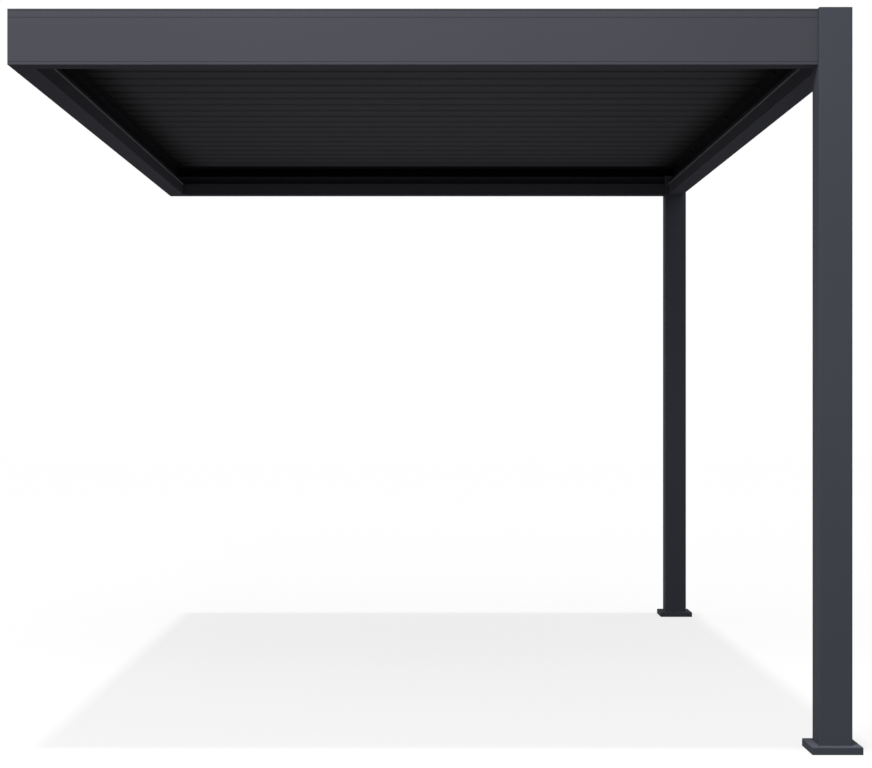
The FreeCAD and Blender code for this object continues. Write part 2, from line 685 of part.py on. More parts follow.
os.makedirs("parts", exist_ok=True)
for piece in pieces:
    piece.Shape.exportStep(os.path.join("parts", f"{piece.Label}.step"))
    box = piece.Shape.BoundBox
    print(f"{piece.Label}: {piece.Shape.Volume / 1e6:.3f} litres, x {box.XMin:.1f} {box.XMax:.1f}, "
          f"y {box.YMin:.1f} {box.YMax:.1f}, z {box.ZMin:.1f} {box.ZMax:.1f}")
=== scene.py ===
"""Finish, fittings and studio for a wall-mounted pergola with a roof of turning louvres.

Everything is in metres in the part's own frame: the wall is the plane x = 0, +X points away from it,
+Y runs along it and +Z is up, with z = 0 half way up the ring beam.
"""
from __future__ import annotations

import json
import logging
import math
from collections.abc import Callable, Iterable, Sequence
from dataclasses import dataclass, field
from enum import Enum

import bmesh
import bpy
from mathutils import Matrix, Vector

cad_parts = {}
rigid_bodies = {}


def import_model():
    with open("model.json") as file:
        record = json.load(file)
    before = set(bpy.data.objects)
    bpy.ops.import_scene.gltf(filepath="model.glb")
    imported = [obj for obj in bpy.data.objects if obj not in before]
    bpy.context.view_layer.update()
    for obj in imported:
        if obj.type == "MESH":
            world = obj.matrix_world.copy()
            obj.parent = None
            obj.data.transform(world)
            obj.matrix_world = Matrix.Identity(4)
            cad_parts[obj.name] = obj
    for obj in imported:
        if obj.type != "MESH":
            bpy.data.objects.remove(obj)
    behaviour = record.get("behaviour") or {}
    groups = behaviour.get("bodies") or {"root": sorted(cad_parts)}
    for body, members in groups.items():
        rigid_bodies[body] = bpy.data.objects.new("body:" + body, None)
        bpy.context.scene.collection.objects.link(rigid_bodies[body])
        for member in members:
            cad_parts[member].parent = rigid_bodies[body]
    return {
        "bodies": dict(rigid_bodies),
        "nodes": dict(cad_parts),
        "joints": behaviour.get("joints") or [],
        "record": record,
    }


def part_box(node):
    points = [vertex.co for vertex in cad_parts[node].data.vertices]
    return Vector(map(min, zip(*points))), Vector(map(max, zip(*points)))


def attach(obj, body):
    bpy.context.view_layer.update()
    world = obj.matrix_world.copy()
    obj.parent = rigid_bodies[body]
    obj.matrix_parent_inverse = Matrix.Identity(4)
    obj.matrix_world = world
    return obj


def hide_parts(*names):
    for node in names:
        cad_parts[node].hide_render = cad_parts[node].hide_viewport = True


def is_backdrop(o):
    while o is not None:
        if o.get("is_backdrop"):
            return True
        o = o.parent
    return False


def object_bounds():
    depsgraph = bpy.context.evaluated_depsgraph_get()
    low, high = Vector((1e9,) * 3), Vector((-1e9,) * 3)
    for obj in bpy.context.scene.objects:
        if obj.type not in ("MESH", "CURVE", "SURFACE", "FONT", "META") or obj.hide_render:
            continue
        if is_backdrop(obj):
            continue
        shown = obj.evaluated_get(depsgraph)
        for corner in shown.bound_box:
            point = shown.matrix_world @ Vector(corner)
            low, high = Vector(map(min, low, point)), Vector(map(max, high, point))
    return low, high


LOG = logging.getLogger("pergola")
MM = 0.001

WELD_DISTANCE = 0.01 * MM
LATHE_WELD_DISTANCE = 0.005 * MM
FLAT_ANGLE = math.radians(0.4)
SHADING_ANGLE = math.radians(50)
FLAT_FACE_WEIGHT = 90
NOISE_MIDDLE = 0.5

Colour = tuple[float, float, float]


class Run(Enum):
    """Direction in which a profile was drawn, along which its faint die lines run."""

    X = (0.25, 1.0, 1.0)
    Y = (1.0, 0.25, 1.0)
    Z = (1.0, 1.0, 0.25)


class Axis(Enum):
    """Quarter turn that lays a shape made along Z onto one of the part's axes."""

    X = Matrix.Rotation(math.radians(90), 3, "Y")
    Z = Matrix.Identity(3)


class Wire:
    """Value that leaves a shader node, so that sums and products of values add their Math nodes."""

    def __init__(self, bench: Bench, socket: bpy.types.NodeSocket) -> None:
        """Keep the socket and the bench that its sums are made on."""
        self.bench = bench
        self.socket = socket

    def _joined(self, operation: str, first: Wire | float, second: Wire | float) -> Wire:
        """Math node of two values."""
        return self.bench.node("ShaderNodeMath", {"operation": operation}, {0: first, 1: second})

    def __add__(self, other: Wire | float) -> Wire:
        """Sum."""
        return self._joined("ADD", self, other)

    def __sub__(self, other: Wire | float) -> Wire:
        """Difference."""
        return self._joined("SUBTRACT", self, other)

    def __rsub__(self, other: float) -> Wire:
        """Difference from a number."""
        return self._joined("SUBTRACT", other, self)

    def __mul__(self, other: Wire | float) -> Wire:
        """Product."""
        return self._joined("MULTIPLY", self, other)

    __radd__ = __add__
    __rmul__ = __mul__


class Bench:
    """Node tree of one material or world, built up node by node."""

    def __init__(self, owner: bpy.types.Material | bpy.types.World) -> None:
        """Empty the owner's node tree.

        Args:
            owner: Material or world that gets the nodes.
        """
        owner.use_nodes = True
        self.tree = owner.node_tree
        self.tree.nodes.clear()

    def node(self, kind: str, settings: dict | None = None, sockets: dict | None = None,
             output: int | str = 0) -> Wire:
        """Add any node.

        Args:
            kind: Blender's name of the node's type.
            settings: Properties set before the sockets.
            sockets: Values or wires of the inputs, by name or number.
            output: Output that the returned wire leaves from.

        Returns:
            The wire from that output.
        """
        made = self.tree.nodes.new(kind)
        for name, value in (settings or {}).items():
            setattr(made, name, value)
        for key, value in (sockets or {}).items():
            if isinstance(value, Wire):
                self.tree.links.new(value.socket, made.inputs[key])
            else:
                made.inputs[key].default_value = value
        return Wire(self, made.outputs[output])

    def place(self) -> Wire:
        """Point of the surface in the part's frame, carried along by the piece."""
        return self.node("ShaderNodeTexCoord", output="Object")

    def stretched(self, place: Wire, scale: tuple[float, float, float]) -> Wire:
        """Place with each axis scaled."""
        return self.node("ShaderNodeMapping", {}, {"Vector": place, "Scale": scale})

    def noise(self, place: Wire, scale: float, detail: float = 2.0) -> Wire:
        """Smooth random value about one half, with features of 1 / scale metres."""
        sockets = {"Vector": place, "Scale": scale, "Detail": detail}
        return self.node("ShaderNodeTexNoise", {}, sockets)

    def mixed(self, share: Wire, first: Wire | Colour, second: Wire | Colour) -> Wire:
        """Colour between two.

        Args:
            share: 0 for the first colour, 1 for the second.
            first: First colour.
            second: Second colour.

        Returns:
            The mixed colour.
        """
        first, second = (tone if isinstance(tone, Wire) else (*tone, 1.0)
                         for tone in (first, second))
        sockets = {0: share, 6: first, 7: second}
        return self.node("ShaderNodeMix", {"data_type": "RGBA"}, sockets, output=2)

    def ramped(self, value: Wire, start: float, end: float, low: float, high: float) -> Wire:
        """Value carried smoothly from one range to another, and held at its ends."""
        sockets = {"Value": value, "From Min": start, "From Max": end, "To Min": low, "To Max": high}
        return self.node("ShaderNodeMapRange", {"interpolation_type": "SMOOTHSTEP"}, sockets)

    def bump(self, height: Wire, distance: float, strength: float = 1.0) -> Wire:
        """Normal bent by a height map, whose full depth is the distance in metres."""
        sockets = {"Height": height, "Distance": distance, "Strength": strength}
        return self.node("ShaderNodeBump", {}, sockets)

    def seen(self) -> Wire:
        """Tell what is looked at from what only gets light.

        Returns:
            1 where the camera sees it, straight, in a mirror or through glass, and 0 for its light.
        """
        kinds = ("Is Camera Ray", "Is Glossy Ray", "Is Transmission Ray")
        camera, mirror, glass = (self.node("ShaderNodeLightPath", output=kind) for kind in kinds)
        return camera + mirror + glass

    def show(self, shader: Wire, output: str = "ShaderNodeOutputMaterial") -> None:
        """Join the finished shader to the output."""
        end = self.tree.nodes.new(output)
        self.tree.links.new(shader.socket, end.inputs["Surface"])

    def surface(self, sockets: dict) -> None:
        """Principled shader with these inputs, joined to the output."""
        self.show(self.node("ShaderNodeBsdfPrincipled", {}, sockets))


@dataclass(frozen=True)
class Finish:
    """Finish of a piece; each kind paints its own nodes."""

    name: str

    def material(self) -> bpy.types.Material:
        """Give the finish's material, made on first use.

        Returns:
            The material.
        """
        found = bpy.data.materials.get(self.name)
        if found is None:
            found = bpy.data.materials.new(self.name)
            self.paint(Bench(found))
        return found

    def paint(self, bench: Bench) -> None:
        """Build the finish's nodes."""
        raise NotImplementedError


@dataclass(frozen=True)
class PowderCoat(Finish):
    """Matt anthracite powder coat over drawn aluminium, with fine grain and faint die lines."""

    run: Run = Run.X
    light: Colour = (0.0720, 0.0725, 0.0860)
    dark: Colour = (0.0640, 0.0650, 0.0780)
    roughness: float = 0.8
    shine: float = 0.006
    grain_scale: float = 900.0
    peel_scale: float = 160.0
    line_scale: float = 140.0
    cloud_scale: float = 1.6
    line_tone: float = 0.12
    line_gloss: float = 0.08
    grain_gloss: float = 0.10
    grain_height: float = 0.6
    relief: float = 0.06 * MM
    relief_strength: float = 0.5

    def paint(self, bench: Bench) -> None:
        """Give it a tone with slow clouds, roughness with die lines, and grain over orange peel.

        Args:
            bench: Empty node tree of the material.
        """
        place = bench.place()
        clouds = bench.noise(place, self.cloud_scale, detail=3.0)
        lines = bench.noise(bench.stretched(place, self.run.value), self.line_scale, detail=1.0)
        grain = bench.noise(place, self.grain_scale, detail=1.0)
        peel = bench.noise(place, self.peel_scale, detail=1.0)
        ripple = lines - NOISE_MIDDLE
        speckle = grain - NOISE_MIDDLE
        bench.surface({
            "Base Color": self.tone(bench, clouds + ripple * self.line_tone),
            "Roughness": ripple * self.line_gloss + speckle * self.grain_gloss + self.roughness,
            "Specular IOR Level": self.shine,
            "Normal": bench.bump(grain * self.grain_height + peel, self.relief, self.relief_strength),
        })

    def tone(self, bench: Bench, share: Wire) -> Wire:
        """Colour of the coat."""
        return bench.mixed(share, self.dark, self.light)


@dataclass(frozen=True, kw_only=True)
class LouvreCoat(PowderCoat):
    """Coat of the louvres, darkened below by painted shade.

    The painted shade is deep at a blade's ends, where the gutters shade it, and light along its
    seams. The blades run along X from start to end, and the seams between them repeat along Y.
    """

    start: float
    end: float
    pitch: float
    first_seam: float
    light: Colour = (0.0660, 0.0660, 0.0720)
    dark: Colour = (0.0580, 0.0580, 0.0640)
    roughness: float = 0.9
    shine: float = 0.012
    # Colour of the painted shade on the blades' undersides.
    painted_shade_tone: Colour = (0.004, 0.004, 0.004)
    end_reach: float = 200 * MM
    end_shade_depth: float = 0.9
    seam_reach: float = 42 * MM
    seam_shade_depth: float = 0.36
    unshaded_from: float = -0.4
    fully_shaded_from: float = -0.9

    def tone(self, bench: Bench, share: Wire) -> Wire:
        """Colour of the coat, darkened by painted shade on faces that point down.

        Args:
            bench: Node tree of the material.
            share: Share of the coat's light colour.

        Returns:
            The colour.
        """
        middle = (self.start + self.end) / 2
        half = (self.end - self.start) / 2
        along, across = (bench.node("ShaderNodeSeparateXYZ", {}, {"Vector": bench.place()}, axis)
                         for axis in "XY")
        from_middle = bench.node("ShaderNodeMath", {"operation": "ABSOLUTE"}, {0: along - middle})
        from_seam = bench.node("ShaderNodeMath", {"operation": "PINGPONG"},
                               {0: across - self.first_seam, 1: self.pitch / 2})
        facing = bench.node("ShaderNodeTexCoord", output="Normal")
        up = bench.node("ShaderNodeSeparateXYZ", {}, {"Vector": facing}, output="Z")
        below = bench.ramped(up, self.fully_shaded_from, self.unshaded_from, 1.0, 0.0)
        # Painted shade: dark towards the blades' ends and along the seams, only on faces that point
        # down.
        painted_shade = (bench.ramped(from_middle, half - self.end_reach, half, 0.0, self.end_shade_depth)
                + bench.ramped(from_seam, 0.0, self.seam_reach, self.seam_shade_depth, 0.0))
        return bench.mixed(painted_shade * below, super().tone(bench, share), self.painted_shade_tone)


@dataclass(frozen=True)
class DarkPlastic(Finish):
    """Black moulded plastic or rubber with a fine spark-eroded grain."""

    tone: Colour = (0.010, 0.010, 0.011)
    roughness: float = 0.5
    shine: float = 0.05
    grain_scale: float = 1100.0
    cloud_scale: float = 9.0
    fading: float = 1.5
    grain_gloss: float = 0.12
    relief: float = 0.05 * MM
    relief_strength: float = 0.5

    def paint(self, bench: Bench) -> None:
        """Give it a near-black base, with grain in its roughness and bump.

        Args:
            bench: Empty node tree of the material.
        """
        place = bench.place()
        grain = bench.noise(place, self.grain_scale, detail=1.0)
        clouds = bench.noise(place, self.cloud_scale)
        faded = tuple(self.fading * part for part in self.tone)
        bench.surface({
            "Base Color": bench.mixed(clouds, self.tone, faded),
            "Roughness": (grain - NOISE_MIDDLE) * self.grain_gloss + self.roughness,
            "Specular IOR Level": self.shine,
            "Normal": bench.bump(grain, self.relief, self.relief_strength),
        })


@dataclass(frozen=True)
class BareMetal(Finish):
    """Uncoated metal: drawn, rolled or zinc plated."""

    tone: Colour = (0.60, 0.61, 0.62)
    roughness: float = 0.36
    run: Run = Run.Y
    line_scale: float = 700.0
    stain_scale: float = 14.0
    dulling: float = 0.78
    line_gloss: float = 0.22
    stain_gloss: float = 0.10
    relief: float = 0.03 * MM
    relief_strength: float = 0.4

    def paint(self, bench: Bench) -> None:
        """Give it drawing lines along its run, and slow stains.

        Args:
            bench: Empty node tree of the material.
        """
        place = bench.place()
        lines = bench.noise(bench.stretched(place, self.run.value), self.line_scale)
        stains = bench.noise(place, self.stain_scale, detail=3.0)
        dull = tuple(self.dulling * part for part in self.tone)
        ripple = lines - NOISE_MIDDLE
        patches = stains - NOISE_MIDDLE
        bench.surface({
            "Base Color": bench.mixed(stains, dull, self.tone),
            "Metallic": 1.0,
            "Roughness": ripple * self.line_gloss + patches * self.stain_gloss + self.roughness,
            "Normal": bench.bump(lines, self.relief, self.relief_strength),
        })


@dataclass(frozen=True)
class Galvanised(Finish):
    """Hot-dip zinc with its spangle."""

    tone: Colour = (0.46, 0.47, 0.49)
    roughness: float = 0.34
    spangle_scale: float = 110.0
    bloom_scale: float = 25.0
    paling: float = 1.25
    spangle_share: float = 0.6
    spangle_gloss: float = 0.16
    bloom_gloss: float = 0.12
    relief: float = 0.04 * MM
    relief_strength: float = 0.4

    def paint(self, bench: Bench) -> None:
        """Give it zinc crystals that differ a little in tone and gloss.

        Args:
            bench: Empty node tree of the material.
        """
        place = bench.place()
        crystals = bench.node("ShaderNodeTexVoronoi", {"feature": "F1"},
                              {"Vector": place, "Scale": self.spangle_scale}, output="Color")
        spangle = bench.node("ShaderNodeSeparateColor", {}, {"Color": crystals})
        bloom = bench.noise(place, self.bloom_scale, detail=3.0)
        pale = tuple(self.paling * part for part in self.tone)
        share = spangle * self.spangle_share + bloom * (1.0 - self.spangle_share)
        bench.surface({
            "Base Color": bench.mixed(share, self.tone, pale),
            "Metallic": 1.0,
            "Roughness": spangle * self.spangle_gloss + bloom * self.bloom_gloss + self.roughness,
            "Normal": bench.bump(spangle + bloom, self.relief, self.relief_strength),
        })


COAT = {run: PowderCoat(f"anthracite_coat_{run.name.lower()}", run=run) for run in (Run.X, Run.Y)}
POST_COAT = PowderCoat("anthracite_coat_z", Run.Z,
                       light=(0.0680, 0.0722, 0.0895), dark=(0.0604, 0.0648, 0.0811), shine=0.04)
# Pale coat of a strip along each side gutter's top edge: a painted highlight where that edge catches
# light.
PAINTED_HIGHLIGHT_COAT = PowderCoat("painted_highlight_coat", Run.Y,
                       light=(0.230, 0.230, 0.240), dark=(0.200, 0.200, 0.210), roughness=0.6)
# Black coat of the pivot rails, made near-black to stand in for the shade in the gutters; on the
# closing strips below their tops it is painted shade.
RAIL_BLACK_AND_PAINTED_SHADE = DarkPlastic("black_rail_coat_and_painted_shade", tone=(0.004, 0.004, 0.005), roughness=0.85, shine=0.01)
# Black plastic of the louvres' end caps, whose near-black also stands in for the shade at the blades'
# ends; the same black is painted shade on the posts' open corners and hollows and on the sheets
# before the strips' webs.
END_CAP_BLACK_AND_PAINTED_SHADE = DarkPlastic("end_cap_plastic_and_painted_shade", tone=(0.004, 0.004, 0.005), roughness=0.85, shine=0.01)
BUSH_NYLON = DarkPlastic("bush_nylon", tone=(0.009, 0.009, 0.010), roughness=0.8, shine=0.05)
SEAL_RUBBER = DarkPlastic("seal_rubber", tone=(0.012, 0.012, 0.012), roughness=0.8)
MILL_ALUMINIUM = BareMetal("mill_aluminium", run=Run.Y)
ZINC_PLATE = BareMetal("zinc_plate", tone=(0.52, 0.53, 0.55), roughness=0.30, run=Run.Z)
HOT_DIP_ZINC = Galvanised("hot_dip_zinc")


def merged_copy(node: bpy.types.Object) -> bmesh.types.BMesh:
    """Copy a solid's loose triangles as one closed skin with whole flat faces.

    Args:
        node: The solid's object, which stays as it is.

    Returns:
        The joined mesh.
    """
    skin = bmesh.new()
    skin.from_mesh(node.data)
    bmesh.ops.remove_doubles(skin, verts=skin.verts, dist=WELD_DISTANCE)
    bmesh.ops.dissolve_limit(skin, angle_limit=FLAT_ANGLE, verts=skin.verts, edges=skin.edges)
    return skin


def soften(skin: bmesh.types.BMesh, width: float, segments: int = 2,
           least: float = 28.0) -> None:
    """Round every crisp edge a little, as coating or moulding does.

    Args:
        skin: Closed mesh, changed in place.
        width: How far the rounding reaches in from the edge.
        segments: Faces across the rounding.
        least: Smallest angle in degrees between two faces that counts as an edge.
    """
    crisp = [edge for edge in skin.edges
             if len(edge.link_faces) == 2 and edge.calc_face_angle() > math.radians(least)]
    bmesh.ops.bevel(skin, geom=crisp, offset=width, segments=segments, profile=0.5,
                    affect="EDGES", clamp_overlap=True, material=-1)


def add_piece(skin: bmesh.types.BMesh, name: str, finish: Finish, body: str,
              accent: Finish | None = None) -> bpy.types.Object:
    """Turn a finished skin into a piece that moves with a body.

    Args:
        skin: Mesh in place in the part's frame; it is freed.
        name: The piece's name.
        finish: Its finish.
        body: Body that carries it.
        accent: Finish of the faces marked with material 1.

    Returns:
        The piece.
    """
    mesh = bpy.data.meshes.new(name)
    for face in skin.faces:
        face.smooth = True
    skin.to_mesh(mesh)
    skin.free()
    mesh.materials.append(finish.material())
    if accent:
        mesh.materials.append(accent.material())
    mesh.set_sharp_from_angle(angle=SHADING_ANGLE)
    piece = bpy.data.objects.new(name, mesh)
    bpy.context.scene.collection.objects.link(piece)
    weighted = piece.modifiers.new("flat_faces_stay_flat", "WEIGHTED_NORMAL")
    weighted.keep_sharp = True
    weighted.weight = FLAT_FACE_WEIGHT
    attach(piece, body)
    return piece


def turned(outline: Sequence[tuple[float, float]], centre: Vector, axis: Axis,
           steps: int) -> bmesh.types.BMesh:
    """Ring or disc turned on a lathe.

    Args:
        outline: Corners as (radius, height along the axis), round one side of the section.
        centre: Point on the axis at height 0.
        axis: Axis of turning.
        steps: Faces round the ring.

    Returns:
        The closed mesh, with its faces outwards.
    """
    ring = bmesh.new()
    corners = [ring.verts.new((radius, 0.0, height)) for radius, height in outline]
    edges = [ring.edges.new((corner, corners[place - 1])) for place, corner in enumerate(corners)]
    bmesh.ops.spin(ring, geom=corners + edges, cent=(0, 0, 0), axis=(0, 0, 1), dvec=(0, 0, 0),
                   angle=math.tau, steps=steps, use_merge=True, use_duplicate=False)
    bmesh.ops.remove_doubles(ring, verts=ring.verts, dist=LATHE_WELD_DISTANCE)
    bmesh.ops.recalc_face_normals(ring, faces=ring.faces)
    set_down(ring, centre, axis)
    return ring


def hexagon(across_flats: float, height: float, centre: Vector, axis: Axis,
            easing: float = 0.10) -> bmesh.types.BMesh:
    """Hexagon head or nut that stands on its centre, with the edges of its free end eased.

    Args:
        across_flats: Its width.
        height: Its height.
        centre: Middle of the end that it stands on.
        axis: Axis that it stands along.
        easing: Rounding of the free end, as a share of the height.

    Returns:
        The closed mesh.
    """
    radius = across_flats / math.sqrt(3)
    head = bmesh.new()
    bmesh.ops.create_cone(head, cap_ends=True, segments=6, radius1=radius, radius2=radius,
                          depth=height)
    bmesh.ops.translate(head, verts=head.verts, vec=(0, 0, height / 2))
    rim = [edge for edge in head.edges if all(vert.co.z > height / 2 for vert in edge.verts)]
    bmesh.ops.bevel(head, geom=rim, offset=easing * height, segments=2, profile=0.5,
                    affect="EDGES", material=-1)
    set_down(head, centre, axis)
    return head


def slab(low: Vector, high: Vector) -> bmesh.types.BMesh:
    """Upright box between two corners.

    Args:
        low: Lowest corner.
        high: Highest corner.

    Returns:
        The closed mesh.
    """
    box = bmesh.new()
    bmesh.ops.create_cube(box, size=1.0)
    bmesh.ops.scale(box, verts=box.verts, vec=high - low)
    bmesh.ops.translate(box, verts=box.verts, vec=(low + high) / 2)
    return box


def set_down(skin: bmesh.types.BMesh, centre: Vector, axis: Axis) -> None:
    """Turn a shape made along Z onto an axis and carry it to its place."""
    bmesh.ops.rotate(skin, verts=skin.verts, cent=(0, 0, 0), matrix=axis.value)
    bmesh.ops.translate(skin, verts=skin.verts, vec=centre)


def joined(parts: Iterable[bmesh.types.BMesh]) -> bmesh.types.BMesh:
    """Make one mesh of many.

    Args:
        parts: The meshes, which are freed.

    Returns:
        The mesh that holds them all.
    """
    whole = bmesh.new()
    carrier = bpy.data.meshes.new("carrier")
    for part in parts:
        part.to_mesh(carrier)
        part.free()
        whole.from_mesh(carrier)
    bpy.data.meshes.remove(carrier)
    return whole


@dataclass
class Assembly:
    """Sub-assembly of the pergola, dressed round the solids of the loaded frame."""

    frame: dict
    pieces: list[bpy.types.Object] = field(default_factory=list, init=False)

    def coated(self, node: str, finish: Finish, slot: str, width: float = 0.5 * MM,
               body: str = "frame",
               accent: tuple[Finish, Callable[[Vector], bool]] | None = None) -> None:
        """Dress one solid: the same shape with softened edges and its finish takes its place.

        Args:
            node: The solid's name.
            finish: The finish.
            slot: The record's material slot; not used.
            width: How far its edges are rounded.
            body: Body that carries it.
            accent: Second finish, and the test that a face's middle passes to get it.
        """
        skin = merged_copy(self.frame["nodes"][node])
        soften(skin, width)
        second, chosen = accent or (None, None)
        for face in skin.faces:
            face.material_index = int(chosen is not None and chosen(face.calc_center_median()))
        piece = add_piece(skin, f"{node}_finished", finish, body, second)
        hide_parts(node)
        self.keep(piece)

    def keep(self, piece: bpy.types.Object) -> None:
        """Count a new piece as the assembly's own."""
        self.pieces.append(piece)

    def build(self) -> None:
        """Make and dress every piece."""
        raise NotImplementedError

    def pivots(self) -> dict[str, Vector]:
        """Rest position of each moving body's joint."""
        return {joint["child"]: Vector(joint["pos_m"]) for joint in self.frame["joints"]}


@dataclass
class RingBeam(Assembly):
    """Four hollow beams with the gutter inside them."""

    runs: dict[str, Run] = field(default_factory=lambda: {
        "wall": Run.Y, "outer": Run.Y, "front": Run.X, "back": Run.X})
    edge_height: float = 8 * MM
    edge_thickness: float = 1 * MM
    edge_gap: float = 0.5 * MM
    edge_rounding: float = 0.3 * MM

    def build(self) -> None:
        """Coat the beams and gutters along their own length."""
        for side, run in self.runs.items():
            self.coated(f"beam_{side}", COAT[run], "beam_coat")
            self.coated(f"gutter_{side}", COAT[run], "gutter_coat", width=0.4 * MM)
        # Pale strip of painted highlight along the top edge of the wall and outer gutters.
        for side, inward in (("wall", 1), ("outer", -1)):
            strip = self.painted_highlight_strip(side, inward)
            self.keep(add_piece(strip, f"painted_highlight_strip_{side}", PAINTED_HIGHLIGHT_COAT, "frame"))

    def painted_highlight_strip(self, side: str, inward: int) -> bmesh.types.BMesh:
        """Pale strip of painted highlight along the top of a gutter's inner wall, under the louvres'
        ends.

        Args:
            side: Side of the gutter, wall or outer.
            inward: 1 where the roof lies towards +X of the gutter, -1 where it lies towards -X.

        Returns:
            The closed mesh.
        """
        low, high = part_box(f"gutter_{side}")
        wall = high.x if inward > 0 else low.x
        near = max(low.y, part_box("gutter_front")[1].y) + self.edge_gap
        far = min(high.y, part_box("gutter_back")[0].y) - self.edge_gap
        face = wall + inward * self.edge_thickness
        strip = slab(Vector((min(wall, face), near, high.z - self.edge_height)),
                     Vector((max(wall, face), far, high.z)))
        soften(strip, self.edge_rounding, segments=1)
        return strip


@dataclass
class WallFixings(Assembly):
    """Hexagon bolts with washers that hold the wall beam to the wall."""

    count: int = 6
    spacing: float = 0.700
    level: float = 0.056
    web: float = 3 * MM
    washer_radius: float = 12 * MM
    washer_thickness: float = 2 * MM
    head_flats: float = 17 * MM
    head_height: float = 6.4 * MM
    shank_radius: float = 5.2 * MM
    shank_inset: float = 1 * MM

    def build(self) -> None:
        """Set a bolt in each hole of the web."""
        parts = []
        for place in range(self.count):
            along = (place - (self.count - 1) / 2) * self.spacing
            seat = Vector((self.web, along, self.level))
            washer = [(self.shank_radius, 0), (self.washer_radius, 0),
                      (self.washer_radius, self.washer_thickness),
                      (self.shank_radius, self.washer_thickness)]
            shank_end = self.shank_inset - self.web
            shank = [(0, shank_end), (self.shank_radius, shank_end),
                     (self.shank_radius, self.washer_thickness), (0, self.washer_thickness)]
            parts.append(turned(washer, seat, Axis.X, steps=24))
            parts.append(turned(shank, seat, Axis.X, steps=24))
            head_seat = seat + Vector((self.washer_thickness, 0, 0))
            parts.append(hexagon(self.head_flats, self.head_height, head_seat, Axis.X))
        self.keep(add_piece(joined(parts), "wall_bolts", ZINC_PLATE, "frame"))


@dataclass
class Posts(Assembly):
    """Two square posts with caps, foot covers and anchor plates."""

    anchor_spacing: float = 134 * MM
    plate_thickness: float = 8 * MM
    stud_radius: float = 6.2 * MM
    washer_radius: float = 12 * MM
    washer_thickness: float = 1 * MM
    nut_flats: float = 18 * MM
    nut_height: float = 5 * MM
    stud_inset: float = 0.5 * MM
    stud_proud: float = 0.2 * MM
    cavity_margin: float = 1 * MM
    lining_inset: float = 2 * MM

    def build(self) -> None:
        """Coat each post and its fittings, and bolt its plate down."""
        for side in ("front", "back"):
            # The post's faces at its open corner and in its hollow get black painted shade.
            self.coated(f"post_{side}", POST_COAT, "post_coat", width=0.4 * MM,
                        accent=(END_CAP_BLACK_AND_PAINTED_SHADE, self.painted_shade_in_post))
            self.coated(f"post_cap_{side}", POST_COAT, "cap_coat", width=0.4 * MM)
            self.coated(f"foot_cover_{side}", POST_COAT, "foot_coat", width=0.6 * MM)
            self.coated(f"base_plate_{side}", HOT_DIP_ZINC, "galvanised_steel", width=0.6 * MM)
            self.keep(add_piece(self.anchors(side), f"anchor_nuts_{side}", ZINC_PLATE, "frame"))

    def painted_shade_in_post(self, middle: Vector) -> bool:
        """Find the post faces that get painted shade: at the open corner at its top, and lining its
        hollow.

        Args:
            middle: Middle of a face of either post.

        Returns:
            Whether it is such a face.
        """
        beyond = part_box("gutter_outer")[1].x + self.cavity_margin
        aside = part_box("gutter_back")[1].y + self.cavity_margin
        low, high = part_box("post_back")
        across = low.x + self.lining_inset < middle.x < high.x - self.lining_inset
        along = low.y + self.lining_inset < abs(middle.y) < high.y - self.lining_inset
        return (middle.x < beyond and abs(middle.y) < aside and middle.z > 0) or (across and along)

    def anchors(self, side: str) -> bmesh.types.BMesh:
        """Studs, washers and flat nuts of one plate.

        Args:
            side: Side of the post, front or back.

        Returns:
            All of them in one mesh.
        """
        low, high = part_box(f"base_plate_{side}")
        centre = (low + high) / 2
        half = self.anchor_spacing / 2
        parts = []
        for across in (-half, half):
            for along in (-half, half):
                ground = Vector((centre.x + across, centre.y + along, low.z))
                top = self.plate_thickness + self.washer_thickness
                stud = [(0, self.stud_inset), (self.stud_radius, self.stud_inset),
                        (self.stud_radius, top + self.nut_height), (0, top + self.nut_height)]
                washer = [(self.stud_radius, self.plate_thickness),
                          (self.washer_radius, self.plate_thickness),
                          (self.washer_radius, top), (self.stud_radius, top)]
                parts.append(turned(stud, ground, Axis.Z, steps=20))
                parts.append(turned(washer, ground, Axis.Z, steps=24))
                nut_seat = ground + Vector((0, 0, top))
                nut_height = self.nut_height - self.stud_proud
                parts.append(hexagon(self.nut_flats, nut_height, nut_seat, Axis.Z))
        return joined(parts)


